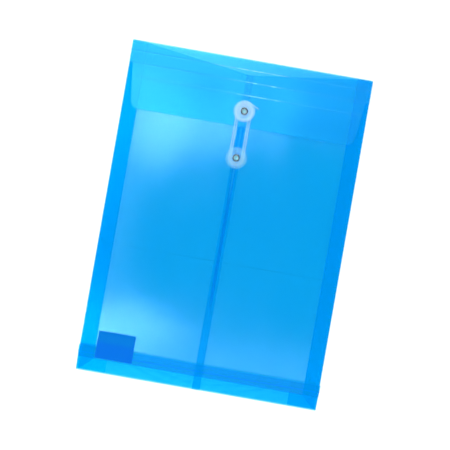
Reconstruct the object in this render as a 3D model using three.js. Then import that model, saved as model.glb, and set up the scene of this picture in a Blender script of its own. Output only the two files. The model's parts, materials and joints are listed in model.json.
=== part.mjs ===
// A large string-tie envelope of translucent film, lying flat on its back with its front upwards.
// Millimetres. X runs to the right across the front, Y towards the top fold, Z up from the table.
// The origin is the middle of the footprint, on the table.
// The body is one folded sheet: a back, two inward side gussets and two front halves that are
// welded where they lap. The bottom is folded into a block bottom, which lies flat behind the back.

import * as THREE from 'three';

// Body, as a bag that takes large sheets of paper
const bodyWidth = 240;
const bodyHeight = 330;
const film = 0.2;
const layerGap = 0.15;
const foldClearance = 0.5;
const seamLap = 7.8;
const notchDepth = 14.8;
const notchShoulder = 10;

// Side gussets, two leaves on each side
const gussetDepth = 15.4;
const gussetCreaseGap = 0.3;
const gussetCut = 12.5;

// Block bottom, from its outer layer to the strip that carries it
const tuckDepth = 12.5;
const bottomDepth = 25;
const bottomLapHeight = 18;
const bottomLapWidth = 1;
const bottomFreeEdge = 0.8;
const bottomSpread = 1.1;
const earWidth = 28.7;

// Blank sticker on the inside of the back, low down on the left
const labelWidth = 37;
const labelHeight = 27;
const labelFromLeft = 16.3;
const labelFromBottom = 14.2;
const labelThickness = 0.1;

// Flap, with score lines across it for a thick filling
const flapLength = 67;
const flapScores = [10.6, 22.6, 35.6];
const flapShoulder = 3.4;
const flapTaper = 0.126;
const flapCorner = 8;
const scoreGap = 0.3;

// Buttons: a disc held by a hollow eyelet, with a clear washer behind the film
const discDiameter = 21.5;
const discThickness = 0.6;
const discEdge = 0.15;
const eyeletBore = 4;
const eyeletWall = 0.35;
const eyeletHead = 7.3;
const eyeletHeadHeight = 0.45;
const eyeletFoot = 6.4;
const eyeletFootHeight = 0.15;
const eyeletClearance = 0.25;
const washerDiameter = 12;
const washerThickness = 0.3;
const seatGap = 0.05;
const upperButtonDown = 51.5;
const buttonSpacing = 46.5;

// String, wound round both buttons and once more round the upper one
const stringDiameter = 1.3;
const innerTurn = 5.2;
const turnStep = 1.95;
const startTurn = 3.3;
const levelStep = 1.8;
const outerTurn = 8.4;
const lastTurn = 9.75;
const tailAngle = 65;
const tailLength = 10.5;
const stepsPerTurn = 24;
const stringSides = 6;

const roundSegments = 48;

// Heights of the layers' undersides, from the table up
const layer = film + layerGap;
const bottomOuterZ = 0;
const bottomInnerZ = bottomOuterZ + layer;
const earZ = bottomInnerZ + layer;
const tuckZ = earZ + layer;
const backZ = tuckZ + layer;
const labelZ = backZ + film;
const gussetBackZ = backZ + layer;
const gussetFrontZ = gussetBackZ + layer;
const frontRightZ = gussetFrontZ + layer;
const frontLeftZ = frontRightZ + layer;
const frontTop = frontLeftZ + film;
const washerRoom = washerThickness + eyeletFootHeight + seatGap + 0.2;
const flapZ = frontTop + washerRoom;
const flapTop = flapZ + film;

// Edges of the body
const left = -bodyWidth / 2;
const right = bodyWidth / 2;
const bottom = -bodyHeight / 2;
const top = bodyHeight / 2;
const sheetTop = top - foldClearance;
const tuckCrease = bottom + tuckDepth;

// Buttons' places, and the room for the string under their discs
const upperButtonY = top - upperButtonDown;
const lowerButtonY = upperButtonY - buttonSpacing;
const lowerDiscZ = frontTop + stringDiameter + 2 * layerGap;
const upperDiscZ = flapTop + stringDiameter + levelStep + 2 * layerGap;
const eyeletOuter = eyeletBore / 2 + eyeletWall;
const eyeletHole = eyeletOuter + eyeletClearance;

function finish(color, roughness, metalness, opacity = 1) {
  return new THREE.MeshStandardMaterial({
    color, roughness, metalness, opacity, transparent: opacity < 1, side: THREE.FrontSide,
  });
}

const bodyFilm = finish(0x12a0f2, 0.35, 0, 0.8);
const flapFilm = finish(0x10b4f8, 0.3, 0, 0.7);
const discPlastic = finish(0xdcebfa, 0.4, 0);
const eyeletMetal = finish(0xb9bcc2, 0.3, 1);
const stringPlastic = finish(0xe6e9fb, 0.5, 0);
const stickerPaper = finish(0x0b5fc6, 0.7, 0);

const envelope = new THREE.Group();

function add(name, geometry, material) {
  const mesh = new THREE.Mesh(geometry, material);
  mesh.name = name;
  envelope.add(mesh);
  return mesh;
}

// A flat sheet cut to an outline in plan, with its underside at height z
function sheet(name, outline, z, material, thickness = film) {
  const geometry = new THREE.ExtrudeGeometry(outline, {
    depth: thickness, bevelEnabled: false, curveSegments: 12,
  });
  const mesh = add(name, geometry, material);
  mesh.position.z = z;
  return mesh;
}

// An outline given in either direction, as a shape that runs anticlockwise
function outlineOf(points) {
  const corners = points.map(([x, y]) => new THREE.Vector2(x, y));
  return new THREE.Shape(THREE.ShapeUtils.isClockWise(corners) ? corners.reverse() : corners);
}

function rectangle(x0, y0, x1, y1) {
  return outlineOf([[x0, y0], [x1, y0], [x1, y1], [x0, y1]]);
}

function punch(outline, y) {
  const hole = new THREE.Path();
  hole.absarc(0, y, eyeletHole, 0, 2 * Math.PI, true);
  outline.holes.push(hole);
}

// Height of the front's top edge: a shallow V between two short level shoulders
function notchedTop(x) {
  const reach = bodyWidth / 2 - notchShoulder;
  return sheetTop - notchDepth * Math.max(0, 1 - Math.abs(x) / reach);
}

// side is -1 for the left half and 1 for the right
function frontHalf(side) {
  const lapEdge = -side * seamLap / 2;
  const outer = side * bodyWidth / 2;
  const shoulder = side * (bodyWidth / 2 - notchShoulder);
  const outline = outlineOf([
    [lapEdge, bottom], [outer, bottom], [outer, sheetTop], [shoulder, sheetTop],
    [0, notchedTop(0)], [lapEdge, notchedTop(lapEdge)],
  ]);
  punch(outline, lowerButtonY);
  return outline;
}

function body() {
  sheet('back_panel', rectangle(left, tuckCrease + foldClearance, right, sheetTop), backZ, bodyFilm);
  sheet('front_right_half', frontHalf(1), frontRightZ, bodyFilm);
  sheet('front_left_half', frontHalf(-1), frontLeftZ, bodyFilm);
  const spineZ = backZ + layer;
  sheet('flap_spine', rectangle(left, top - film, right, top), spineZ, flapFilm,
    flapZ - layerGap - spineZ);
}

// Each gusset is two leaves: one from the back's side edge to the crease, one back to the front's edge
function gusset(name, side) {
  const outer = side * (bodyWidth / 2 - foldClearance / 2);
  const crease = side * (bodyWidth / 2 - gussetDepth + gussetCreaseGap / 2);
  const backLeaf = rectangle(
    Math.min(outer, crease), tuckCrease + foldClearance, Math.max(outer, crease), sheetTop,
  );
  sheet(`${name}_back_leaf`, backLeaf, gussetBackZ, bodyFilm);
  const frontLeaf = outlineOf([
    [outer, bottom + foldClearance], [outer - side * foldClearance, bottom + foldClearance],
    [crease, bottom + gussetCut], [crease, sheetTop], [outer, sheetTop],
  ]);
  sheet(`${name}_front_leaf`, frontLeaf, gussetFrontZ, bodyFilm);
}

// The bottom is two lapped sheets, an ear at each end and the strip that joins them to the back
function blockBottom() {
  const panelTop = bottom + bottomDepth;
  const freeEdge = bottom + bottomFreeEdge;
  const lapLow = bottom + bottomLapHeight - bottomLapWidth;
  const lapHigh = bottom + bottomLapHeight;
  const halfAt = (y) => bodyWidth / 2 + bottomSpread * (y - bottom) / bottomDepth;
  const across = (y0, y1) => outlineOf([
    [-halfAt(y0), y0], [halfAt(y0), y0], [halfAt(y1), y1], [-halfAt(y1), y1],
  ]);
  sheet('bottom_flap_front', across(freeEdge, lapHigh), bottomOuterZ, bodyFilm);
  sheet('bottom_flap_back', across(lapLow, panelTop - foldClearance), bottomInnerZ, bodyFilm);
  sheet('bottom_ear_left', rectangle(left, freeEdge, left + earWidth, panelTop - foldClearance),
    earZ, bodyFilm);
  sheet('bottom_ear_right', rectangle(right - earWidth, freeEdge, right, panelTop - foldClearance),
    earZ, bodyFilm);
  sheet('tuck_strip', rectangle(left, tuckCrease + foldClearance / 2, right,
    panelTop - foldClearance), tuckZ, bodyFilm);
}

function sticker() {
  const x = left + labelFromLeft;
  const y = bottom + labelFromBottom;
  sheet('label_patch', rectangle(x, y, x + labelWidth, y + labelHeight), labelZ, stickerPaper,
    labelThickness);
}

// Half the flap's width at a distance down from the top fold
function flapHalf(down) {
  const shoulderLine = flapScores[1];
  if (down <= shoulderLine) return bodyWidth / 2;
  return bodyWidth / 2 - flapShoulder - flapTaper * (down - shoulderLine);
}

function flap() {
  const edges = [foldClearance, ...flapScores];
  flapScores.forEach((score, index) => {
    const y0 = top - score + scoreGap / 2;
    const y1 = top - edges[index] - (index > 0 ? scoreGap / 2 : 0);
    const half0 = flapHalf(score);
    const half1 = index === 2 ? flapHalf(edges[index] + scoreGap) : half0;
    sheet(`flap_strip_${index + 1}`, outlineOf([
      [-half0, y0], [half0, y0], [half1, y1], [-half1, y1],
    ]), flapZ, flapFilm);
  });

  const leafTop = top - flapScores[2] - scoreGap / 2;
  const leafEnd = top - flapLength;
  const topHalf = flapHalf(flapScores[2]);
  const endHalf = flapHalf(flapLength);
  const cornerHalf = flapHalf(flapLength - flapCorner);
  const outline = new THREE.Shape();
  outline.moveTo(-topHalf, leafTop);
  outline.lineTo(-cornerHalf, leafEnd + flapCorner);
  outline.quadraticCurveTo(-endHalf, leafEnd, -endHalf + flapCorner, leafEnd);
  outline.lineTo(endHalf - flapCorner, leafEnd);
  outline.quadraticCurveTo(endHalf, leafEnd, cornerHalf, leafEnd + flapCorner);
  outline.lineTo(topHalf, leafTop);
  punch(outline, upperButtonY);
  sheet('flap_leaf', outline, flapZ, flapFilm);
}

// A ring turned about a vertical axis at the button's place, from a closed profile of [radius, height]
function turned(name, profile, y, material) {
  const points = [...profile, profile[0]].map(([r, z]) => new THREE.Vector2(r, z));
  const geometry = new THREE.LatheGeometry(points, roundSegments);
  geometry.rotateX(Math.PI / 2);
  const mesh = add(name, geometry, material);
  mesh.position.y = y;
}

// filmZ is the underside of the film that the eyelet clamps, and discZ the disc's underside
function button(name, y, filmZ, discZ) {
  const discRadius = discDiameter / 2;
  const discTop = discZ + discThickness;
  turned(`${name}_disc`, [
    [eyeletHole, discZ], [discRadius - discEdge, discZ], [discRadius, discZ + discEdge],
    [discRadius, discTop - discEdge], [discRadius - discEdge, discTop], [eyeletHole, discTop],
  ], y, discPlastic);

  const washerTop = filmZ - seatGap;
  const washerBottom = washerTop - washerThickness;
  turned(`${name}_washer`, [
    [eyeletHole, washerBottom], [washerDiameter / 2, washerBottom],
    [washerDiameter / 2, washerTop], [eyeletHole, washerTop],
  ], y, discPlastic);

  const footTop = washerBottom - seatGap;
  const headLow = discTop + seatGap;
  const headHigh = headLow + eyeletHeadHeight;
  const bore = eyeletBore / 2;
  const headMiddle = (bore + eyeletHead / 2) / 2;
  turned(`${name}_eyelet`, [
    [bore, footTop - eyeletFootHeight], [eyeletFoot / 2, footTop - eyeletFootHeight],
    [eyeletFoot / 2, footTop], [eyeletOuter, footTop], [eyeletOuter, headLow],
    [eyeletHead / 2, headLow], [eyeletHead / 2 - discEdge, headLow + eyeletHeadHeight * 0.6],
    [headMiddle, headHigh], [bore + discEdge, headLow + eyeletHeadHeight * 0.6],
    [bore, headLow],
  ], y, eyeletMetal);
}

// The string's middle line. It starts beside the upper eyelet and runs clockwise.
function stringRoute() {
  const points = [];
  const upperLevel = flapTop + layerGap + stringDiameter / 2;
  const lowerLevel = frontTop + layerGap + stringDiameter / 2;
  const rampTop = top - flapLength - 2 * stringDiameter;
  const rampBottom = lowerButtonY + discDiameter / 2 + stringDiameter;

  const push = (x, y, z) => points.push(new THREE.Vector3(x, y, z));

  // An arc round a button's middle, with its radius and height changing at a steady rate
  function arc(y, fromDegrees, toDegrees, fromRadius, toRadius, fromZ, toZ) {
    const steps = Math.round(Math.abs(toDegrees - fromDegrees) / 360 * stepsPerTurn);
    for (let step = 0; step <= steps; step += 1) {
      const share = step / steps;
      const angle = THREE.MathUtils.degToRad(THREE.MathUtils.lerp(fromDegrees, toDegrees, share));
      const radius = THREE.MathUtils.lerp(fromRadius, toRadius, share);
      push(radius * Math.cos(angle), y + radius * Math.sin(angle),
        THREE.MathUtils.lerp(fromZ, toZ, share));
    }
  }

  // A strand between the buttons comes down off the flap's edge onto the front
  function strand(x, downwards) {
    const places = [[rampTop, upperLevel], [rampBottom, lowerLevel]];
    if (!downwards) places.reverse();
    places.forEach(([y, z]) => push(x, y, z));
  }

  const outer = innerTurn + turnStep;
  const upperSecond = upperLevel + levelStep;
  push(-startTurn, upperButtonY - stringDiameter, upperLevel);
  arc(upperButtonY, 180, 0, startTurn, innerTurn, upperLevel, upperLevel);
  [innerTurn, outer].forEach((radius) => {
    strand(radius, true);
    arc(lowerButtonY, 0, -180, radius, radius, lowerLevel, lowerLevel);
    strand(-radius, false);
    if (radius === innerTurn) {
      arc(upperButtonY, 180, 0, radius, radius + turnStep, upperLevel, upperLevel);
    }
  });
  arc(upperButtonY, 180, 0, outer, outerTurn, upperLevel, upperSecond);
  arc(upperButtonY, -15, -180, outerTurn, outerTurn, upperSecond, upperSecond);
  arc(upperButtonY, 165, tailAngle, outerTurn, lastTurn, upperSecond, upperSecond);
  const angle = THREE.MathUtils.degToRad(tailAngle);
  const end = points[points.length - 1];
  push(end.x + tailLength * Math.sin(angle), end.y - tailLength * Math.cos(angle), upperSecond);
  return points;
}

// A closed tube along a route: a ring of points at each place, and a fan at each end
function tube(route, radius, sides) {
  const positions = [];
  const up = new THREE.Vector3(0, 0, 1);
  route.forEach((point, index) => {
    const before = route[Math.max(index - 1, 0)];
    const after = route[Math.min(index + 1, route.length - 1)];
    const along = after.clone().sub(before).normalize();
    const across = along.clone().cross(up).normalize();
    const over = across.clone().cross(along);
    for (let side = 0; side < sides; side += 1) {
      const angle = 2 * Math.PI * (side + 0.5) / sides;
      const place = point.clone()
        .addScaledVector(across, radius * Math.cos(angle))
        .addScaledVector(over, radius * Math.sin(angle));
      positions.push(place.x, place.y, place.z);
    }
  });
  const faces = [];
  for (let ring = 0; ring < route.length - 1; ring += 1) {
    for (let side = 0; side < sides; side += 1) {
      const a = ring * sides + side;
      const b = ring * sides + (side + 1) % sides;
      faces.push(a, a + sides, b, b, a + sides, b + sides);
    }
  }
  const last = (route.length - 1) * sides;
  for (let side = 1; side < sides - 1; side += 1) {
    faces.push(0, side, side + 1);
    faces.push(last, last + side + 1, last + side);
  }
  const geometry = new THREE.BufferGeometry();
  geometry.setAttribute('position', new THREE.Float32BufferAttribute(positions, 3));
  geometry.setIndex(faces);
  geometry.computeVertexNormals();
  return geometry;
}

// The least gap between stretches of the string that lie more than a few diameters apart along it
function leastGap(route) {
  const path = new THREE.CurvePath();
  for (let index = 0; index < route.length - 1; index += 1) {
    path.add(new THREE.LineCurve3(route[index], route[index + 1]));
  }
  const length = path.getLength();
  const count = Math.ceil(length / (stringDiameter / 4));
  const places = Array.from({ length: count + 1 }, (unused, index) => path.getPoint(index / count));
  const skip = Math.ceil(4 * stringDiameter / (length / count));
  let least = Infinity;
  for (let a = 0; a < places.length; a += 1) {
    for (let b = a + skip; b < places.length; b += 1) {
      least = Math.min(least, places[a].distanceTo(places[b]));
    }
  }
  return { gap: least - stringDiameter, length };
}

body();
gusset('gusset_left', -1);
gusset('gusset_right', 1);
blockBottom();
sticker();
flap();
button('lower', lowerButtonY, frontRightZ, lowerDiscZ);
button('upper', upperButtonY, flapZ, upperDiscZ);

const route = stringRoute();
add('string', tube(route, stringDiameter / 2, stringSides), stringPlastic);
const measured = leastGap(route);
console.log(`string: length ${measured.length.toFixed(1)} mm, least gap ${measured.gap.toFixed(2)} mm`);

export default envelope;
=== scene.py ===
# %% [markdown]
# # A string-tie envelope of translucent film
# A large document envelope lies on its back, closed, with its string wound round two buttons.
# It is folded from one sheet of blue film, so nearly all that is seen is how many layers of film
# lie over each other. The lesson makes each layer as its own thin sheet and lets the renderer add
# them up, because painted-in darker areas would stay behind when the envelope opens.

# %% Load the frame
import json
import math
import bmesh
import bpy
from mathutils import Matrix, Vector, noise

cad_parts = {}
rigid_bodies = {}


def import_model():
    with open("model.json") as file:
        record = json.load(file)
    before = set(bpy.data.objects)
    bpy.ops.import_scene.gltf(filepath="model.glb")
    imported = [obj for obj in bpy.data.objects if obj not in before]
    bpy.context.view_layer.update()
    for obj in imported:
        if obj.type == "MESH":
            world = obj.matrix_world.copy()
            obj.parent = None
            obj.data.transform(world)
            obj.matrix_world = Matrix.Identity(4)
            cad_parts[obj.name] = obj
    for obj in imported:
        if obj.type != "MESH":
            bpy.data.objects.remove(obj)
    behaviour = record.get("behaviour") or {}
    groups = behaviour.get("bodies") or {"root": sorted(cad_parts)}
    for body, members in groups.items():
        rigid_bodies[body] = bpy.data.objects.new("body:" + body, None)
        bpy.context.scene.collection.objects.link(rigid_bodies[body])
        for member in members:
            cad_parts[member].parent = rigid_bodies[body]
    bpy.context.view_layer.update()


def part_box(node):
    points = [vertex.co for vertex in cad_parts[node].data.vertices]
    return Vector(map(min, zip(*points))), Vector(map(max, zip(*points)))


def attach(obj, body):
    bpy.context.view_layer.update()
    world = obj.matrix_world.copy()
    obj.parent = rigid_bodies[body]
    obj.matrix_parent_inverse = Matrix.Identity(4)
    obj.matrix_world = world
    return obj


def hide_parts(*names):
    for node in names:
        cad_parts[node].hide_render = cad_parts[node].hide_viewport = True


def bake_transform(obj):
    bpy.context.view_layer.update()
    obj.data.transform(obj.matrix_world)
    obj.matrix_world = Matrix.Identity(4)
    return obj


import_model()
mm = 0.001

# %% [markdown]
# ## Camera
# The photograph looks straight down from far away, with the envelope turned a little clockwise.
# The envelope stays square in its own frame, so the camera is turned instead. A long lens from
# 1.6 m keeps the sides parallel, as they are in the photograph.

# %% Camera
photo_pixels = 450
body_width = 240 * mm
body_width_pixels = 242.9
body_middle_pixels = (224.4, 224.9)
photo_turn = math.radians(9.93)
camera_height = 1.6

metres_per_pixel = body_width / body_width_pixels
across = Vector((math.cos(photo_turn), math.sin(photo_turn), 0))
along = Vector((-math.sin(photo_turn), math.cos(photo_turn), 0))
camera_place = Vector((0, 0, camera_height))
camera_place += across * (photo_pixels / 2 - body_middle_pixels[0]) * metres_per_pixel
camera_place -= along * (photo_pixels / 2 - body_middle_pixels[1]) * metres_per_pixel

lens = bpy.data.cameras.new("camera")
lens.sensor_width = 36
lens.lens = lens.sensor_width * camera_height / (photo_pixels * metres_per_pixel)
camera = bpy.data.objects.new("camera", lens)
camera.location = camera_place
camera.rotation_euler = (0, 0, photo_turn)
scene = bpy.context.scene
scene.collection.objects.link(camera)
scene.camera = camera
print("lens:", round(lens.lens, 1), "mm")

# %% [markdown]
# ## Levels
# Every sheet lies at the height that the frame gives it. The buttons' places and the flap's sizes
# are repeated here from the same drawing, because the string and the pressed lines need them.

# %% Levels and places
top_fold = 165 * mm
bottom_fold = -165 * mm
film_thickness = 0.2 * mm
flap_length = 67 * mm
flap_scores = [10.6 * mm, 22.6 * mm, 35.6 * mm]
button_drop = 51.5 * mm
button_spacing = 46.5 * mm
upper_button = top_fold - button_drop
lower_button = upper_button - button_spacing
disc_radius = 21.5 / 2 * mm
button_hole = 2.6 * mm
front_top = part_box("front_left_half")[1][2]
flap_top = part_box("flap_leaf")[1][2]
print("front at", round(front_top / mm, 2), "mm, flap at", round(flap_top / mm, 2), "mm")

# %% [markdown]
# ## The string's route
# The string starts beside the upper eyelet, goes twice round both buttons and once more round the
# upper one, and its tail sticks out at the upper right. A simulation could wind it, but the turns
# have to lie where the drawing has room for them, so the route is worked out turn by turn: arcs
# round the buttons, joined by straight strands that step down off the flap onto the front.

# %% String route
string_thickness = 1.3 * mm
string_gap = 0.15 * mm
inner_turn = 5.2 * mm
turn_step = 1.95 * mm
start_turn = 3.3 * mm
level_step = 1.8 * mm
outer_turn = 8.4 * mm
last_turn = 9.75 * mm
join_step = 15
tail_angle = 65
tail_length = 10.5 * mm
steps_per_turn = 48

upper_level = flap_top + string_gap + string_thickness / 2
lower_level = front_top + string_gap + string_thickness / 2
second_level = upper_level + level_step
ramp_top = top_fold - flap_length - 2 * string_thickness
ramp_bottom = lower_button + disc_radius + string_thickness
outer_strand = inner_turn + turn_step
route = [Vector((-start_turn, upper_button - string_thickness, upper_level))]
print("string starts at", [round(value / mm, 2) for value in route[0]], "mm")

# %% [markdown]
# ## Winding the string
# Two helpers lay the route. One adds an arc round a button, whose radius and height may change on
# the way. The other adds a straight stretch between the buttons. The string does nothing else, so
# its whole winding can then be read as a short list of calls.

# %% Winding
def between(start, end, share):
    """The value that lies that share of the way from start to end."""
    return start + (end - start) * share


def wind(middle, angles, radii, levels):
    """Adds an arc round a button, with its radius and height changing at a steady rate."""
    steps = round(abs(angles[1] - angles[0]) / 360 * steps_per_turn)
    for step in range(steps + 1):
        share = step / steps
        angle = math.radians(between(*angles, share))
        radius = between(*radii, share)
        route.append(Vector((
            radius * math.cos(angle), middle + radius * math.sin(angle), between(*levels, share),
        )))


def strand(x, downwards):
    """Adds a straight stretch between the buttons, which comes down off the flap's edge."""
    places = [Vector((x, ramp_top, upper_level)), Vector((x, ramp_bottom, lower_level))]
    route.extend(places if downwards else reversed(places))


wind(upper_button, (180, 0), (start_turn, inner_turn), (upper_level, upper_level))
for turn in (inner_turn, outer_strand):
    strand(turn, True)
    wind(lower_button, (0, -180), (turn, turn), (lower_level, lower_level))
    strand(-turn, False)
    if turn == inner_turn:
        wind(upper_button, (180, 0), (turn, outer_strand), (upper_level, upper_level))
wind(upper_button, (180, 0), (outer_strand, outer_turn), (upper_level, second_level))
wind(upper_button, (-join_step, -180), (outer_turn, outer_turn), (second_level, second_level))
last_arc = (180 - join_step, tail_angle)
wind(upper_button, last_arc, (outer_turn, last_turn), (second_level, second_level))
tail = math.radians(tail_angle)
route.append(route[-1] + Vector((math.sin(tail), -math.cos(tail), 0)) * tail_length)
string_length = sum((b - a).length for a, b in zip(route, route[1:]))
print("string:", round(string_length / mm, 1), "mm,", len(route), "points")

# %% [markdown]
# ## The string
# A cord of soft milky plastic is the same thickness all along. A curve with a round bevel makes
# just that from its middle line, and closed caps make its cut ends. The bevel is one metre deep and
# each point's radius scales it down, because a curve's own box is measured from those radii.

# %% String
string_line = bpy.data.curves.new("tie_string", "CURVE")
string_line.dimensions = "3D"
string_line.bevel_depth = 1
string_line.bevel_resolution = 3
string_line.use_fill_caps = True
string_spline = string_line.splines.new("POLY")
string_spline.points.add(len(route) - 1)
for point, place in zip(string_spline.points, route):
    point.co = (*place, 1)
    point.radius = string_thickness / 2
string_spline.use_smooth = True
tie_string = bpy.data.objects.new("tie_string", string_line)
scene.collection.objects.link(tie_string)
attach(tie_string, "flap_end")
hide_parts("string")
print("string thickness:", round(string_thickness / mm, 2), "mm")

# %% [markdown]
# ## Writing materials as sums
# A material is a graph of nodes. Wiring each one by hand hides what is worked out, so a small
# class wraps a socket and lets Python's own signs add the maths nodes.

# %% Socket maths
class Wire:
    """A node's output that can be used in a sum."""

    def __init__(self, finish, socket):
        self.finish = finish
        self.socket = socket

    def sum(self, operation, first, second):
        return self.finish.node("Math", {"operation": operation}, {0: first, 1: second})

    def __add__(self, other):
        return self.sum("ADD", self, other)

    def __sub__(self, other):
        return self.sum("SUBTRACT", self, other)

    def __rsub__(self, other):
        return self.sum("SUBTRACT", other, self)

    def __mul__(self, other):
        return self.sum("MULTIPLY", self, other)

    def __abs__(self):
        return self.sum("ABSOLUTE", self, 0.0)

    __radd__ = __add__
    __rmul__ = __mul__


print("signs that add a node: + - * abs")

# %% [markdown]
# ## Building a finish
# Nodes that aren't sums all come from one method, from a type, its settings and its inputs. It
# could be a plain function, but a class can also hold what nearly every finish of this envelope
# needs: the place on the piece, soft-edged masks, cloudy noise and a blend of two colours.

# %% Finish maker
class Finish:
    """A material that is being built from nodes."""

    def __init__(self, name):
        self.material = bpy.data.materials.new(name)
        self.material.use_nodes = True
        self.tree = self.material.node_tree
        self.tree.nodes.clear()
        place = self.node("TexCoord", {}, {}, "Object")
        self.place = place
        self.x = self.node("SeparateXYZ", {}, {0: place}, "X")
        self.y = self.node("SeparateXYZ", {}, {0: place}, "Y")

    def node(self, kind, settings, inputs, output=0):
        """Adds a node with its settings and inputs, and gives one of its outputs if it has any."""
        made = self.tree.nodes.new("ShaderNode" + kind)
        for name, value in settings.items():
            setattr(made, name, value)
        for socket, value in inputs.items():
            if isinstance(value, Wire):
                self.tree.links.new(value.socket, made.inputs[socket])
            else:
                made.inputs[socket].default_value = value
        return Wire(self, made.outputs[output]) if made.outputs else None

    def ease(self, value, start, end):
        """0 up to start and 1 from end on, with a soft change between them."""
        inputs = {0: value, 1: start, 2: end, 3: 0.0, 4: 1.0}
        return self.node("MapRange", {"interpolation_type": "SMOOTHSTEP"}, inputs)

    def line(self, value, place, half, soft):
        """1 on a line of that half width at a place, fading out over the soft width."""
        return 1 - self.ease(abs(value - place), half, half + soft)

    def clouds(self, scale, detail=2.0, stretch=(1.0, 1.0, 1.0)):
        """Cloudy noise from 0 to 1, with about that many clouds to the metre."""
        spread = self.node("Mapping", {}, {0: self.place, 3: stretch})
        return self.node("TexNoise", {}, {"Vector": spread, "Scale": scale, "Detail": detail})

    def tone(self, share, first, second):
        """A colour between two colours."""
        inputs = {0: share, 6: (*first, 1), 7: (*second, 1)}
        return self.node("Mix", {"data_type": "RGBA"}, inputs, 2)

    def bump(self, height, depth):
        """Makes the surface look as if it rose by that depth where the height is 1."""
        return self.node("Bump", {}, {"Height": height, "Distance": depth})

    def close(self, surface):
        """Ends the graph with its surface and gives the material."""
        self.node("OutputMaterial", {}, {0: surface})
        return self.material


print("masks and noise: ease, line, clouds, tone, bump")

# %% [markdown]
# ## The film's finish
# The film is dyed right through and clear enough to show the next layer. Glass would be true to
# it, but many layers of glass make a noisy, slow picture. A mix of tinted see-through and a shiny
# dyed surface adds up over the layers in the same way: red goes first, then green, and blue stays.
# Masks say where a film is marked, where a weld made it clearer and where it is rubbed dull.

# %% Film finish
film_tint = (0.55, 0.883, 0.985)
film_dye = (0.0, 0.66, 1.0)
film_dye_light = (0.0, 0.7, 1.0)
film_pale = (0.55, 0.85, 1.0)
film_clear = 0.9
cloud_scale = 11.0
cloud_edge = 0.3
cloud_clearness = 0.02
grain_scale = 900.0
grain_depth = 0.002 * mm
rub_scale = 26.0
rub_stretch = (1.0, 0.35, 1.0)
rub_roughness = 0.05
rubbed_roughness = 0.85
weld_clearness = 0.06
mark_milkiness = 0.45
satin = {"roughness": 0.5, "index": 1.5, "shine": 0.12, "tint": (0.0, 1.0, 1.0)}


def film_finish(
    name, clear=film_clear, face=satin, marks=None, marked=film_pale, weld=None, rubbed=None,
):
    """Dyed film, with masks of its marked places, its clearer ones and its rubbed ones."""
    finish = Finish(name)
    cloud = finish.clouds(cloud_scale) - 0.5
    grain = finish.clouds(grain_scale, 3.0)
    rub = finish.clouds(rub_scale, 4.0, rub_stretch) - 0.5
    see_through = clear + cloud * cloud_clearness
    dye = finish.tone(finish.ease(cloud, -cloud_edge, cloud_edge), film_dye, film_dye_light)
    if weld:
        see_through = see_through + weld(finish) * weld_clearness
    if marks:
        mask = marks(finish)
        see_through = see_through * (1 - mask * mark_milkiness)
        dye = finish.node("Mix", {"data_type": "RGBA"}, {0: mask, 6: dye, 7: (*marked, 1)}, 2)
    roughness = face["roughness"] + rub * rub_roughness
    if rubbed:
        roughness = roughness + rubbed(finish) * rubbed_roughness
    skin = finish.node("BsdfPrincipled", {}, {
        "Base Color": dye,
        "Roughness": roughness,
        "IOR": face["index"],
        "Specular IOR Level": face["shine"],
        "Specular Tint": (*face["tint"], 1),
        "Normal": finish.bump(grain, grain_depth),
    })
    clear_film = finish.node("BsdfTransparent", {}, {"Color": (*film_tint, 1)})
    return finish.close(finish.node("MixShader", {}, {0: see_through, 1: skin, 2: clear_film}))


print("share of clear film:", film_clear, "tinted", film_tint)

# %% [markdown]
# ## Marked places
# Pressing, welding and rubbing leave traces in the film. The pressed lines also carry a painted
# highlight, and the lap's dark line is painted shade. An image could hold them, but each one is
# a straight line or all that lies below a height, so a mask worked out from the place on the piece
# is sharper and lighter. It also stays on its own sheet when the envelope opens.

# %% Marked places
# The pressed lines carry a painted highlight between these places, broken by clouds.
highlight_from = (-34 * mm, 4 * mm)
highlight_to = (26 * mm, 40 * mm)
break_scale = 160.0
break_edge = (0.35, 0.65)
score_strength = (0.2, 0.25, 0.45)
score_half = 0.25 * mm
score_soft = 0.5 * mm
weld_half = 1.3 * mm
weld_soft = 0.7 * mm
weld_begins = (-95 * mm, -70 * mm)
dots_begin = (-300 * mm, -200 * mm)
dot_strength = 0.5
# A faint pale line runs across the back at this place.
faint_line = top_fold - 202 * mm
faint_line_half = 0.3 * mm
faint_line_soft = 0.5 * mm
faint_line_strength = 0.12
tuck_edge = (-139.5 * mm, -138 * mm)
lap_line = -147.1 * mm
lap_half = 0.5 * mm
lap_soft = 0.4 * mm
lap_shade_strength = 1.8


def score_marks_and_highlight(finish):
    """Pressed lines across the flap, paler all along, with a painted highlight just right of the
    middle.
    """
    bright = finish.ease(finish.x, *highlight_from) * (1 - finish.ease(finish.x, *highlight_to))
    broken = finish.ease(finish.clouds(break_scale, 1.0), *break_edge)
    everywhere, where_bright, where_broken = score_strength
    strength = everywhere + bright * (where_bright + broken * where_broken)
    places = [top_fold - score for score in flap_scores]
    lines = [finish.line(finish.y, place, score_half, score_soft) for place in places]
    return (lines[0] + lines[1] + lines[2]) * strength


def weld_marks(finish):
    """The middle of the seam, where the two films are melted together."""
    middle = finish.line(finish.x, 0.0, weld_half, weld_soft)
    stretch = finish.ease(finish.y, *weld_begins)
    return middle * stretch


def dot_marks(finish):
    """All of each weld dot, because no dot lies as low as this mask begins."""
    return finish.ease(finish.y, *dots_begin) * dot_strength


def back_marks(finish):
    """A faint pale line across the back."""
    return finish.line(finish.y, faint_line, faint_line_half, faint_line_soft) * faint_line_strength


def back_rub(finish):
    """The foot of the back, which the tuck strip behind it has rubbed dull."""
    return 1 - finish.ease(finish.y, *tuck_edge)


def painted_lap_shade(finish):
    """Painted shade: a dark line along the lap of the two bottom flaps."""
    return finish.line(finish.y, lap_line, lap_half, lap_soft) * lap_shade_strength


print("pressed lines at", [round((top_fold - score) / mm, 1) for score in flap_scores], "mm")
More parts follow.
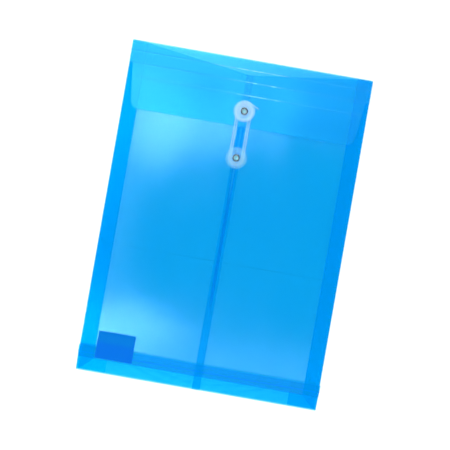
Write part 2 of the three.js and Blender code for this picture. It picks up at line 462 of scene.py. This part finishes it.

# %% [markdown]
# ## The films
# All sheets are of one film, but their faces shine in four ways. The outside is satin and the flap
# is glossy. The folded layers gleam, and the inside of the back is polished. One shine for all
# would be simpler, but most of the light comes up from that inner face, through every layer that
# lies over it. Those layers take the red out of it, so its own shine is tinted red, and the faces
# above it shine mostly in green and blue. Marks are paler than the film, and the lap is a deeper
# line of painted shade.

# %% Films
polished = {"roughness": 0.07, "index": 2.8, "shine": 1.0, "tint": (1.0, 0.31, 0.4)}
gleaming = {"roughness": 0.12, "index": 1.5, "shine": 0.62, "tint": (0.0, 1.0, 1.0)}
glossy = {"roughness": 0.2, "index": 1.65, "shine": 1.0, "tint": (0.15, 1.0, 1.0)}
back_clear = 0.74
fold_clear = 0.86
dot_clear = 0.8
# The lap's dark line is painted shade, in this deep blue.
lap_shade_blue = (0.0, 0.06, 1.0)
dot_pale = (0.1, 0.85, 1.0)

front_film = film_finish("front_film", weld=weld_marks)
back_film = film_finish("back_film", back_clear, polished, marks=back_marks, rubbed=back_rub)
inner_film = film_finish("inner_film", fold_clear, gleaming)
gusset_film = film_finish("gusset_film", fold_clear, gleaming, rubbed=back_rub)
bottom_film = film_finish("bottom_film", fold_clear, gleaming, marks=painted_lap_shade, marked=lap_shade_blue)
flap_film = film_finish("flap_film", face=glossy, marks=score_marks_and_highlight)
weld_film = film_finish("weld_film", dot_clear, marks=dot_marks, marked=dot_pale)
print("outer films:", front_film.name, back_film.name, flap_film.name, weld_film.name)
print("folded films:", inner_film.name, gusset_film.name, bottom_film.name)

# %% [markdown]
# ## The cut edge of the film
# Seen edge on, dyed film is much deeper in colour, because the light has come a long way through
# it. A filling that soaks up light would do that by itself, but it slows every ray that crosses
# the sheets, so the rim of each sheet gets a deep finish of its own.

# %% Edge finish
streak_scale = 300.0
edge_deep = (0.0, 0.2, 0.75)
edge_light = (0.0, 0.42, 0.95)
edge_finish = Finish("film_edge")
edge_streaks = edge_finish.clouds(streak_scale, 2.0)
edge_colour = edge_finish.tone(edge_streaks, edge_deep, edge_light)
film_edge = edge_finish.close(edge_finish.node("BsdfPrincipled", {}, {
    "Base Color": edge_colour, "Roughness": 0.3 + edge_streaks * 0.2,
}))
print("edge finish:", film_edge.name)

# %% [markdown]
# ## How the film swells
# A sheet this thin never lies dead flat, and its soft swells are what shape the shine on it. A
# cloth simulation could bend the layers, but they would cut through each other. So all layers
# share one field of heights. It is nought round the buttons, where the string has to lie true,
# and at the top fold. It fades slowly towards the foot, because a short fade would cut the shine
# off along a straight line.

# %% Swells
swell_height = 0.2 * mm
swell_across = 95 * mm
swell_along = 120 * mm
swell_start = (3.1, 1.7, 0.5)
still_middle = 90 * mm
still_across = (18 * mm, 60 * mm)
still_along = (42 * mm, 85 * mm)
still_foot = (-138 * mm, -50 * mm)
still_top = (0, 40 * mm)


def ease(value, start, end):
    """0 up to start and 1 from end on, with a soft change between them, for plain numbers."""
    share = min(max((value - start) / (end - start), 0.0), 1.0)
    return share * share * (3 - 2 * share)


def swell(x, y):
    """How far the film stands up at a place, the same for every layer there."""
    beside = ease(abs(x), *still_across)
    beyond = ease(abs(y - still_middle), *still_along)
    free = max(beside, beyond) * ease(y, *still_foot) * ease(top_fold - y, *still_top)
    start_x, start_y, start_z = swell_start
    height = noise.noise(Vector((x / swell_across + start_x, y / swell_along + start_y, start_z)))
    return swell_height * (1 + height) * free


print("swell at the left middle:", round(swell(-70 * mm, 0) / mm, 2), "mm")

# %% [markdown]
# ## From a shape to a piece
# Every shape ends in the same way: it gets its finishes, is shaded smooth except at its sharp
# edges, and is told which body carries it and which solid it stands for. Blender can smooth by
# angle with a modifier, but marking the edges in the bmesh leaves the finished mesh plain.

# %% Piece maker
sharp_angle = 40


def dress(piece, body, nodes=()):
    """Puts a finished piece in the scene and says what it rides on and stands for."""
    scene.collection.objects.link(piece)
    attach(piece, body)
    if nodes:
        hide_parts(*nodes)


def solid_piece(name, shape, finishes):
    """Turns a bmesh into an object with smooth shading between its sharp and its open edges."""
    for edge in shape.edges:
        corner = edge.calc_face_angle(math.pi)
        edge.smooth = corner < math.radians(sharp_angle)
    for face in shape.faces:
        face.smooth = True
    mesh = bpy.data.meshes.new(name)
    shape.to_mesh(mesh)
    shape.free()
    for finish in finishes:
        mesh.materials.append(finish)
    return bpy.data.objects.new(name, mesh)


print("edges sharper than", sharp_angle, "degrees stay sharp")

# %% [markdown]
# ## Lines to bend along
# A flat face can only swell where it has corners inside it. Subdividing it would follow the face's
# own outline, which is slanted or has a hole in many sheets. Straight cuts right across give every
# layer the same grid, so that the layers rise and fall together.

# %% Cut lines
cut_spacing = 6 * mm
cut_reach = 1e-6


def cut_along(sheet, axis, places):
    """Cuts a flat sheet along straight lines, so that it can bend there."""
    for place in places:
        point = Vector((0, 0, 0))
        point[axis] = place
        normal = Vector((0, 0, 0))
        normal[axis] = 1
        whole = sheet.verts[:] + sheet.edges[:] + sheet.faces[:]
        bmesh.ops.bisect_plane(sheet, geom=whole, plane_co=point, plane_no=normal, dist=cut_reach)


def ruled(low, high):
    """Places of the regular cuts between two values."""
    first = math.ceil((low + mm) / cut_spacing)
    last = math.floor((high - mm) / cut_spacing)
    return [index * cut_spacing for index in range(first, last + 1)]


print("cuts across the body:", len(ruled(-body_width / 2, body_width / 2)))

# %% [markdown]
# ## Making a sheet of film
# A sheet could be a squashed cube, but then it couldn't swell, be punched or have round corners.
# Here it starts as one flat face on its corners. Corners are rounded by a bevel, a punched hole is
# a circle that the fill leaves open, straight cuts give it lines to bend along, and a Solidify
# modifier gives it the film's thickness last, upwards from its underside.

# %% Sheet maker
hole_sides = 40
corner_segments = 8


def film_sheet(
    node, corners, film, rounding=0, hole=None, cuts=(), lift=None, thickness=film_thickness,
):
    """One layer of film on its corners, given in any direction round."""
    low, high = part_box(node)
    sheet = bmesh.new()
    sheet.faces.new([sheet.verts.new((x, y, low.z)) for x, y in corners])
    if rounding:
        lowest = min(y for x, y in corners)
        ends = [vert for vert in sheet.verts if vert.co.y < lowest + mm]
        bmesh.ops.bevel(
            sheet, geom=ends, offset=rounding, offset_type="OFFSET", segments=corner_segments,
            profile=0.5, affect="VERTICES", material=-1,
        )
    if hole is not None:
        bmesh.ops.delete(sheet, geom=sheet.faces[:], context="FACES_ONLY")
        circle = bmesh.ops.create_circle(
            sheet, cap_ends=False, radius=button_hole, segments=hole_sides,
        )
        bmesh.ops.translate(sheet, verts=circle["verts"], vec=(0, hole, low.z))
        bmesh.ops.triangle_fill(sheet, use_beauty=True, edges=sheet.edges[:])
    cut_along(sheet, 0, ruled(low.x, high.x))
    cut_along(sheet, 1, sorted(ruled(low.y, high.y) + list(cuts)))
    down = [face for face in sheet.faces if face.normal.z < 0]
    bmesh.ops.reverse_faces(sheet, faces=down)
    for vert in sheet.verts:
        vert.co.z += swell(vert.co.x, vert.co.y)
        if lift:
            vert.co.z += lift(vert.co.x, vert.co.y)
    piece = solid_piece(node + "_film", sheet, [film, film_edge])
    wall = piece.modifiers.new("thickness", "SOLIDIFY")
    wall.thickness = thickness
    wall.offset = 1
    wall.use_quality_normals = True
    wall.material_offset_rim = 1
    return piece


def rectangle(node):
    """The four corners of a node that is a plain rectangle."""
    low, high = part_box(node)
    return [(low.x, low.y), (high.x, low.y), (high.x, high.y), (low.x, high.y)]


print("film thickness:", round(film_thickness / mm, 2), "mm")

# %% [markdown]
# ## Back and front
# The back is a plain sheet. The front is two halves that lap by 7.8 mm down the middle, the left
# one on top, with a shallow V cut into their top edges for fingers. Both are punched for the lower
# eyelet. One sheet with a painted band would look alike from the front, but two that really lap
# make the band darker by themselves, and from every side.

# %% Back and front sheets
half_body = body_width / 2
seam_half = 3.9 * mm
notch_depth = 14.8 * mm
notch_shoulder = 10 * mm
fold_gap = 0.5 * mm
notch_reach = half_body - notch_shoulder
sheet_top = top_fold - fold_gap


def notch(x):
    """Height of the front's top edge."""
    return sheet_top - notch_depth * max(0, 1 - abs(x) / notch_reach)


def front_half(side):
    """Corners of the left (-1) or right (1) half, from the foot of the seam outwards."""
    lap = -side * seam_half
    return [
        (lap, bottom_fold), (side * half_body, bottom_fold), (side * half_body, sheet_top),
        (side * notch_reach, sheet_top), (0, notch(0)), (lap, notch(lap)),
    ]


back_sheet = film_sheet("back_panel", rectangle("back_panel"), back_film)
dress(back_sheet, "back", ["back_panel"])
for name, side in (("front_left_half", -1), ("front_right_half", 1)):
    half = film_sheet(name, front_half(side), front_film, hole=lower_button)
    dress(half, "front", [name])
    print(name, len(half.data.polygons), "faces")

# %% [markdown]
# ## Weld dots
# The seam is welded by a toothed wheel that leaves a row of short pressed bars. They show best
# between the buttons and just below, where the light rakes them. A bump in the finish would do
# from far away, but a raised bar also shows from the side, so each is a small flattened dome.

# %% Weld dots
dot_pitch = 2.7 * mm
dot_half = (0.95 * mm, 0.55 * mm, 0.09 * mm)
smallest_dot = 0.3
dots_from = top_fold - 70 * mm
dots_to = top_fold - 150 * mm
dots_fade_from = top_fold - 118 * mm
dots_fade_to = top_fold - 150 * mm

dots = bmesh.new()
dot_y = dots_from
while dot_y > dots_to:
    size = smallest_dot + (1 - smallest_dot) * ease(dot_y, dots_fade_to, dots_fade_from)
    dome = bmesh.ops.create_uvsphere(dots, u_segments=10, v_segments=6, radius=1)
    bmesh.ops.scale(dots, verts=dome["verts"], vec=[half * size for half in dot_half])
    bmesh.ops.translate(dots, verts=dome["verts"], vec=(0, dot_y, front_top + swell(0, dot_y)))
    dot_y -= dot_pitch
dot_piece = solid_piece("weld_dots", dots, [weld_film])
dress(dot_piece, "front")
print("weld dots:", len(dot_piece.data.polygons), "faces")

# %% [markdown]
# ## Side gussets
# Each side folds inwards on a crease, so two more layers lie between back and front along both
# sides. One bent sheet would tear when the side opens, because its two leaves turn on hinges of
# their own, so each leaf is a sheet. The front leaf is cut off slantwise at the bottom, where the
# block bottom folds in.

# %% Gussets
gusset_gap = 0.25 * mm
slant_corner = 0.5 * mm
leaf_outer = half_body - gusset_gap
leaf_crease = 104.75 * mm
leaf_foot = bottom_fold + slant_corner
slant_top = -152.5 * mm
ear_fold = 118 * mm
ear_line = -140 * mm
for name, side in (("gusset_left", -1), ("gusset_right", 1)):
    back_leaf = name + "_back_leaf"
    piece = film_sheet(back_leaf, rectangle(back_leaf), gusset_film)
    dress(piece, name + "_back", [back_leaf])
    front_leaf = name + "_front_leaf"
    slanted = [
        (leaf_outer, sheet_top), (leaf_outer, ear_line), (ear_fold, ear_line),
        (ear_fold, leaf_foot), (ear_fold - slant_corner, leaf_foot),
        (leaf_crease, slant_top), (leaf_crease, sheet_top),
    ]
    piece = film_sheet(front_leaf, [(side * x, y) for x, y in slanted], gusset_film)
    dress(piece, name + "_front", [front_leaf])
    print(name, "leaf:", round((leaf_outer - leaf_crease) / mm, 2), "mm deep")

# %% [markdown]
# ## Block bottom
# The bottom folds up flat behind the back, like that of a paper sack: a tuck strip, two flaps that
# lap by a millimetre and an ear at each end. The panel is a little wider at its inner edge, so its
# corners peep out beside the body. A dark line runs along the lap. It is painted shade, a deep mark
# in the film of the flaps, and no third sheet lies there.

# %% Block bottom
bottom_spread = 1.1 * mm
bottom_depth = 25 * mm


def spread_strip(node):
    """Corners of a strip whose sides spread a little upwards."""
    low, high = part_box(node)
    corners = []
    for y, sides in ((low.y, (-1, 1)), (high.y, (1, -1))):
        half = half_body + bottom_spread * (y - bottom_fold) / bottom_depth
        corners += [(side * half, y) for side in sides]
    return corners


for name, body, film in (
    ("tuck_strip", "tuck", bottom_film),
    ("bottom_ear_left", "bottom_panel", inner_film),
    ("bottom_ear_right", "bottom_panel", inner_film),
):
    piece = film_sheet(name, rectangle(name), film)
    dress(piece, body, [name])

for name in ("bottom_flap_front", "bottom_flap_back"):
    piece = film_sheet(name, spread_strip(name), bottom_film)
    dress(piece, "bottom_panel", [name])
    print(name, len(piece.data.polygons), "faces")

# %% [markdown]
# ## Flap outline
# The flap folds over the top and has three pressed lines, so that it can bend square round a thick
# filling. Below the middle line it has a small shoulder and tapers. Each pressed line is a low
# ridge as well as a paler mark, because a press leaves both, and its brightest stretch is a painted
# highlight. The two wings beside the buttons rise a little, because only the middle is tied down.
# The rise is a lift of the sheet's corners, added to the swell that all layers share.

# %% Flap outline
score_gap = 0.3 * mm
score_ridge = 0.03 * mm
score_width = 0.45 * mm
flap_shoulder = 3.4 * mm
flap_taper = 0.126
flap_corner = 7 * mm
wing_rise = 0.3 * mm
wing_begins = (18 * mm, 70 * mm)
score_lines = [top_fold - score for score in flap_scores]
ridge_steps = (-1.4, -0.9, -0.6, 0.6, 0.9, 1.4)
ridge_cuts = [line + step * mm for line in score_lines for step in ridge_steps]


def flap_half(down):
    """Half the flap's width at a distance below the top fold."""
    if down <= flap_scores[1]:
        return half_body
    return half_body - flap_shoulder - flap_taper * (down - flap_scores[1])


def flap_form(x, y):
    """The ridges along the pressed lines, and how the two wings rise to the last line and fall."""
    ridges = sum(math.exp(-(((y - line) / score_width) ** 2)) for line in score_lines)
    rise = ease(top_fold - y, 0, flap_scores[2]) * ease(y, top_fold - flap_length, score_lines[2])
    wing = ease(abs(x), *wing_begins)
    return score_ridge * ridges + wing_rise * wing * rise


print("flap's end:", round(2 * flap_half(flap_length) / mm, 1), "mm wide")

# %% [markdown]
# ## Flap strips
# The flap could be one sheet, but then it could only bend by stretching. Three strips and a leaf
# meet at the pressed lines instead, each on a body of its own. The last strip is the tapered one,
# and the leaf has the two round corners and the hole for the upper eyelet.

# %% Flap strips
def flap_sheet(name, lower_half, upper_half, body, rounding=0, hole=None):
    """A strip of the flap with its own half width at its lower and its upper edge."""
    low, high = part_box(name)
    corners = [
        (-lower_half, low.y), (lower_half, low.y), (upper_half, high.y), (-upper_half, high.y),
    ]
    inside = [cut for cut in ridge_cuts if low.y < cut < high.y]
    piece = film_sheet(
        name, corners, flap_film, rounding=rounding, hole=hole, cuts=inside, lift=flap_form,
    )
    dress(piece, body, [name])
    print(name, len(piece.data.polygons), "faces")


for index, score in enumerate(flap_scores):
    lower_half = flap_half(score)
    upper_half = flap_half(flap_scores[index - 1] + score_gap) if index == 2 else lower_half
    flap_sheet(f"flap_strip_{index + 1}", lower_half, upper_half, f"flap_{index + 1}")

flap_sheet(
    "flap_leaf", flap_half(flap_length), flap_half(flap_scores[2]), "flap_end",
    rounding=flap_corner, hole=upper_button,
)

# %% [markdown]
# ## The turn over the top
# Film turns over the top from the back to the flap and has to reach further when the envelope is
# filled. A hinge can't lengthen it, so it is a narrow upright strip of its own, with cuts across
# it.

# %% Spine
spine_steps = 8
low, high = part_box("flap_spine")
spine = bmesh.new()
bmesh.ops.create_cube(spine, size=1)
bmesh.ops.scale(spine, verts=spine.verts, vec=high - low)
bmesh.ops.translate(spine, verts=spine.verts, vec=(low + high) / 2)
levels = [low.z + (high.z - low.z) * step / spine_steps for step in range(1, spine_steps)]
cut_along(spine, 2, levels)
spine_piece = solid_piece("top_turn", spine, [flap_film])
scene.collection.objects.link(spine_piece)
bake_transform(spine_piece)
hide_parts("flap_spine")
print("spine:", len(spine_piece.data.polygons), "faces")

# %% [markdown]
# ## Sticker
# A dark blue rectangle shows through the film low on the left. It is a blank sticker on the inside
# of the back: coated paper, deep blue and a little uneven where it is pressed on. Its foot is
# darker with painted shade. A dark mark in the back's own film would be simpler, but a sticker has
# a thickness and hides what lies under it, so it is a sheet of its own.

# %% Sticker
sticker_blue = (0.0, 0.07, 0.5)
sticker_shade_blue = (0.0, 0.0, 0.6)
sticker_shade_fade = (-139 * mm, -131 * mm)
paper_grain = 0.01 * mm
sticker_finish = Finish("sticker")
sticker_cloud = sticker_finish.clouds(60.0, 3.0)
# The sticker's foot is darkened by painted shade.
sticker_foot_shade = 1 - sticker_finish.ease(sticker_finish.y, *sticker_shade_fade)
sticker_tone = sticker_finish.tone(
    sticker_cloud * 0.3 + sticker_foot_shade * 0.7, sticker_blue, sticker_shade_blue,
)
sticker = sticker_finish.close(sticker_finish.node("BsdfPrincipled", {}, {
    "Base Color": sticker_tone,
    "Roughness": 0.55 + sticker_cloud * 0.1,
    "Normal": sticker_finish.bump(sticker_finish.clouds(700.0, 3.0), paper_grain),
}))
low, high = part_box("label_patch")
sticker_size = high - low
sticker_piece = film_sheet(
    "label_patch", rectangle("label_patch"), sticker, thickness=sticker_size.z,
)
dress(sticker_piece, "back", ["label_patch"])
print("sticker:", [round(value / mm, 1) for value in sticker_size], "mm")

# %% [markdown]
# ## Milky plastic
# Discs, washers and string are of clear plastic with a little white in it, so that each lets the
# thing below it show through. Light that scatters inside the plastic would be true to it, but it
# is slow and grainy in pieces this thin. A mix of tinted see-through and a pale skin looks much
# the same. The upper disc is milkier than the lower one, and the string is the milkiest of all.

# %% Milky plastic
milk_scale = 240.0
milk_clearness = 0.06
milk_roughness = 0.08
mould_grain = 1400.0
mould_depth = 0.004 * mm
white_tint = (0.97, 1.0, 1.0)
washer_tint = (0.97, 0.99, 1.0)
string_tint = (0.93, 0.98, 1.0)


def milky_finish(name, clear, tint, colour, pale, roughness):
    """Milky plastic: the share that is clear, its tint, and the two tones of its clouded skin."""
    finish = Finish(name)
    cloud = finish.clouds(milk_scale, 2.0)
    grain = finish.clouds(mould_grain, 2.0)
    skin = finish.node("BsdfPrincipled", {}, {
        "Base Color": finish.tone(cloud, colour, pale),
        "Roughness": roughness + cloud * milk_roughness,
        "Specular IOR Level": 0.6,
        "Normal": finish.bump(grain, mould_depth),
    })
    clear_part = finish.node("BsdfTransparent", {}, {"Color": (*tint, 1)})
    see_through = clear + (cloud - 0.5) * milk_clearness
    return finish.close(finish.node("MixShader", {}, {0: see_through, 1: skin, 2: clear_part}))


disc_plastic = milky_finish(
    "disc_plastic", clear=0.92, tint=white_tint,
    colour=(0.4, 0.97, 1.0), pale=(0.55, 1.0, 1.0), roughness=0.25,
)
upper_disc_plastic = milky_finish(
    "upper_disc_plastic", clear=0.88, tint=white_tint,
    colour=(0.65, 1.0, 1.0), pale=(0.85, 1.0, 1.0), roughness=0.25,
)
washer_plastic = milky_finish(
    "washer_plastic", clear=0.96, tint=washer_tint,
    colour=(0.8, 0.9, 1.0), pale=(0.9, 0.96, 1.0), roughness=0.3,
)
string_plastic = milky_finish(
    "string_plastic", clear=0.78, tint=string_tint,
    colour=(0.55, 0.88, 1.0), pale=(0.75, 0.95, 1.0), roughness=0.5,
)
string_line.materials.append(string_plastic)
plastics = (disc_plastic, upper_disc_plastic, washer_plastic, string_plastic)
print("plastics:", [plastic.name for plastic in plastics])

# %% [markdown]
# ## Discs and washers
# Each button is a thin disc with a thicker rim, which is what a mould gives it, and a plain washer
# lies behind the film. A cylinder with insets could make them, but every edge is round about the
# same axis, so an outline of radius and height, in mm, is spun about it once.

# %% Discs and washers
turn_steps = 72
weld_reach = 1e-7


def spun(name, profile, middle, finish):
    """A ring about a button's axis, from a closed outline of radius and height."""
    ring = bmesh.new()
    verts = [ring.verts.new((radius, middle, height)) for radius, height in profile]
    edges = [ring.edges.new(pair) for pair in zip(verts, verts[1:] + verts[:1])]
    bmesh.ops.spin(
        ring, geom=verts + edges, cent=(0, middle, 0), axis=(0, 0, 1), angle=math.tau,
        steps=turn_steps, use_merge=True,
    )
    bmesh.ops.remove_doubles(ring, verts=ring.verts, dist=weld_reach)
    bmesh.ops.recalc_face_normals(ring, faces=ring.faces)
    return solid_piece(name, ring, [finish])


disc_outline = [
    (2.6, 0), (9.5, 0), (10.2, 0), (10.6, 0.1), (10.75, 0.28), (10.7, 0.48), (10.5, 0.63),
    (10.2, 0.68), (9.9, 0.64), (9.6, 0.55), (9.2, 0.5), (4.2, 0.5), (3.9, 0.56), (3.6, 0.6),
    (2.6, 0.6),
]
washer_outline = [
    (2.6, 0), (5.8, 0), (6.0, 0.08), (6.0, 0.22), (5.8, 0.3), (2.6, 0.3),
]
disc_finishes = {"upper": upper_disc_plastic, "lower": disc_plastic}
buttons = (("upper", upper_button, "flap_end"), ("lower", lower_button, "front"))
for which, middle, carrier in buttons:
    for kind, outline, finish, slot, body in (
        ("disc", disc_outline, disc_finishes[which], "disc_plastic", "disc_" + which),
        ("washer", washer_outline, washer_plastic, "washer_plastic", carrier),
    ):
        node = f"{which}_{kind}"
        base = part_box(node)[0].z
        profile = [(radius * mm, base + height * mm) for radius, height in outline]
        piece = spun(node + "_ring", profile, middle, finish)
        dress(piece, body, [node])
        print(node, len(piece.data.polygons), "faces")

# %% [markdown]
# ## Eyelet finish
# The eyelets are of dark plated metal. The head's outer edge and the bore carry painted highlights,
# and the slope between them is painted nearly black as shade. Three materials on rings of faces
# would have hard borders, so one finish changes softly with the distance from the button's axis.

# %% Eyelet finish
outer_highlight = (3.3 * mm, 3.55 * mm)
inner_highlight = (2.35 * mm, 2.6 * mm)
dark_plating_and_shade = (0.0, 0.008, 0.012)
highlight_plating = (0.7, 0.85, 0.92)
plating_shine = (0.02, 0.3, 0.5, 1)
scuff_scale = 2200.0
scuff_depth = 0.006 * mm


def eyelet_finish(name, middle):
    """Dark plated metal, with painted shade on the slope and painted highlights on the bore and the
    outer edge.
    """
    finish = Finish(name)
    centre = finish.node("Mapping", {}, {0: finish.place, 1: (0, -middle, 0)})
    flat = finish.node("VectorMath", {"operation": "MULTIPLY"}, {0: centre, 1: (1, 1, 0)})
    radius = finish.node("VectorMath", {"operation": "LENGTH"}, {0: flat}, "Value")
    outside = finish.ease(radius, *outer_highlight)
    inside = 1 - finish.ease(radius, *inner_highlight)
    # Painted highlights on the outer edge and in the bore, painted shade between them.
    highlight_mask = outside + inside
    scuffs = finish.clouds(scuff_scale, 3.0)
    return finish.close(finish.node("BsdfPrincipled", {}, {
        "Base Color": finish.tone(highlight_mask, dark_plating_and_shade, highlight_plating),
        "Metallic": 0.2 + highlight_mask * 0.8,
        "Specular Tint": plating_shine,
        "Roughness": 0.3 + scuffs * 0.15,
        "Normal": finish.bump(scuffs, scuff_depth),
    }))


print("dark ring from", inner_highlight[1] / mm, "to", outer_highlight[0] / mm, "mm from the axis")

# %% [markdown]
# ## Eyelet bottoms
# Down in each bore a pale, dull bottom closes the view, as the stub of a closed eyelet does. Its
# pale colour is a painted highlight, for the light that the eyelet's end reflects. It gets a plain
# matt finish of its own, because the polished one would mirror the dark bore.

# %% Eyelet bottom finish
bottom_dull = (0.25, 0.65, 0.72)
bottom_highlight_pale = (0.55, 0.85, 0.88)
eyelet_bottom_finish = Finish("eyelet_bottom")
bottom_scuffs = eyelet_bottom_finish.clouds(1800.0, 3.0)
eyelet_bottom = eyelet_bottom_finish.close(eyelet_bottom_finish.node("BsdfPrincipled", {}, {
    "Base Color": eyelet_bottom_finish.tone(bottom_scuffs, bottom_dull, bottom_highlight_pale),
    "Specular IOR Level": 0.05,
    "Roughness": 0.7 + bottom_scuffs * 0.15,
}))
print("finish:", eyelet_bottom.name)

# %% [markdown]
# ## Eyelets
# A hollow eyelet holds each disc: a rolled head above, a bore, and a foot that is turned out over
# the washer. Like the discs it is spun from an outline in mm. The foot's part of it is measured up
# from the eyelet's underside and the head's part from the head's own underside, so the bore between
# them is as long as the layers that it clamps. The bottom is a small circle, inset to a dish.

# %% Eyelets
head_height = 0.45 * mm
foot_outline = [(2.0, 0), (3.1, 0), (3.2, 0.07), (3.1, 0.15), (2.35, 0.15)]
head_outline = [
    (2.35, 0), (3.6, 0), (3.65, 0.08), (3.55, 0.22), (3.3, 0.36), (3.0, 0.44), (2.7, 0.43),
    (2.4, 0.3), (2.15, 0.1), (2.0, -0.3),
]
cup_radius = 2.0 * mm - 0.02 * mm
cup_sides = 32
cup_rim = 0.5 * mm
cup_dish = 0.12 * mm
cup_up = 0.2 * mm
cup_wall = 0.05 * mm


def cup_piece(name, middle, height):
    """The small dished bottom inside an eyelet."""
    cup = bmesh.new()
    bmesh.ops.create_circle(cup, cap_ends=True, radius=cup_radius, segments=cup_sides)
    bmesh.ops.inset_region(cup, faces=cup.faces[:], thickness=cup_rim, depth=cup_dish)
    bmesh.ops.translate(cup, verts=cup.verts, vec=(0, middle, height))
    bmesh.ops.solidify(cup, geom=cup.faces[:], thickness=cup_wall)
    bmesh.ops.recalc_face_normals(cup, faces=cup.faces)
    return solid_piece(name, cup, [eyelet_bottom])


for which, middle, carrier in buttons:
    node = which + "_eyelet"
    low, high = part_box(node)
    profile = [(radius * mm, low.z + height * mm) for radius, height in foot_outline]
    head = high.z - head_height
    profile += [(radius * mm, head + height * mm) for radius, height in head_outline]
    piece = spun(node + "_ring", profile, middle, eyelet_finish(node, middle))
    dress(piece, carrier, [node])
    dress(cup_piece(node + "_bottom", middle, low.z + cup_up), carrier)
    print(node, len(piece.data.polygons), "faces")

# %% [markdown]
# ## Floor
# The photograph's ground is pure white. A white sky could give that, but the film needs something
# pale close under it to send light back up through the layers. So the floor is a plain pale sheet
# of matt paper, and the light lifts it to just over white.

# %% Floor
floor_half = 3
floor_tones = ((0.92, 0.92, 0.92), (0.94, 0.94, 0.94))
floor_finish = Finish("floor")
floor_grain = floor_finish.clouds(120.0, 3.0)
floor_paper = floor_finish.close(floor_finish.node("BsdfPrincipled", {}, {
    "Base Color": floor_finish.tone(floor_grain, *floor_tones),
    "Roughness": 0.85 + floor_grain * 0.1,
    "Specular IOR Level": 0.1,
}))
floor_mesh = bmesh.new()
bmesh.ops.create_grid(floor_mesh, x_segments=1, y_segments=1, size=floor_half)
floor = solid_piece("floor", floor_mesh, [floor_paper])
scene.collection.objects.link(floor)
print("floor:", 2 * floor_half, "m wide")

# %% [markdown]
# ## Sky and light paths
# A plain view keeps the colours as they are worked out. Every layer of film costs a light path one
# see-through step, and the light between film and floor goes back and forth many times, so both
# counts are raised. The sky is faint and even, and only fills in where no soft box reaches.

# %% Sky
scene.view_settings.view_transform = "Standard"
scene.cycles.transparent_max_bounces = 48
scene.cycles.max_bounces = 20
scene.cycles.diffuse_bounces = 14
scene.cycles.sample_clamp_indirect = 0
sky_strength = 0.05
sky = bpy.data.worlds.new("sky")
scene.world = sky
sky.use_nodes = True
sky.node_tree.nodes["Background"].inputs["Color"].default_value = (1, 1, 1, 1)
sky.node_tree.nodes["Background"].inputs["Strength"].default_value = sky_strength
print("sky strength:", sky_strength)

# %% [markdown]
# ## Side light
# Four low soft boxes, one beyond each side, light the film evenly and leave no mirror image in it,
# because flat film sends their shine away from the camera. One big box overhead would be simpler,
# but it would lay a haze of shine over the whole envelope.

# %% Side light
side_height = 0.9
side_size = (1.0, 1.0)
side_boxes = (
    ("left_side", -1.3, 0.3, 3.7),
    ("right_side", 1.3, -0.2, 2.5),
    ("foot_side", 0, -1.3, 3.7),
    ("head_side", 0, 1.3, 3.6),
)


def soft_box(name, place, aim, size, radiance):
    """A soft box that faces the point it is aimed at."""
    light = bpy.data.lights.new(name, "AREA")
    light.shape = "RECTANGLE"
    light.size, light.size_y = size
    light.energy = radiance * math.pi * light.size * light.size_y
    box = bpy.data.objects.new(name, light)
    box.location = place
    box.rotation_euler = (Vector(place) - Vector(aim)).to_track_quat("Z", "Y").to_euler()
    scene.collection.objects.link(box)
    print(name, "power", round(light.energy, 1), "W")
    return box


for name, x, y, radiance in side_boxes:
    soft_box(name, (x, y, side_height), aim=(0, 0, 0), size=side_size, radiance=radiance)

# %% [markdown]
# ## Shine
# Five boxes high above the camera make the shine. Each is worked out backwards, from where its
# mirror image has to lie on flat film and how large it is there. A real soft box fades towards its
# edge, so each one is four nested boxes that share its radiance. They hang 50 mm apart, because a
# mirrored ray stops at the first box that it meets, and of boxes at the same height it would see
# only one. The swells of the film then bend the shine.

# %% Shine
shine_height = 8
shine_steps = 4
shine_gap = 0.05
plain_softness = 0.45


def shine_box(name, shine_at, turn, shine_size, radiance, softness=plain_softness):
    """Soft boxes above the camera whose mirror image in flat film has that place, turn and size."""
    spread = 1 + shine_height / camera_height
    x, y = [value * spread for value in shine_at]
    for step in range(shine_steps):
        share = 1 - step * softness / shine_steps
        place = (x, y, shine_height + step * shine_gap)
        size = [side * spread * share for side in shine_size]
        below = (0, 0, shine_height - 1)
        box = soft_box(f"{name}_{step + 1}", place, below, size, radiance / shine_steps)
        box.rotation_euler = (0, 0, math.radians(turn))


shine_box("head_shine", (0, 195 * mm), turn=0, shine_size=(480 * mm, 200 * mm), radiance=3)
shine_box("foot_shine", (60 * mm, -168 * mm), turn=5, shine_size=(460 * mm, 110 * mm), radiance=5)
shine_box("left_shine", (-190 * mm, 0), turn=0, shine_size=(220 * mm, 260 * mm), radiance=4)
shine_box(
    "upper_left_glow", (-140 * mm, 130 * mm), turn=28, shine_size=(340 * mm, 230 * mm), radiance=25,
)
shine_box(
    "foot_glow", (-115 * mm, -158 * mm), turn=-12, shine_size=(360 * mm, 130 * mm), radiance=38,
    softness=0.72,
)
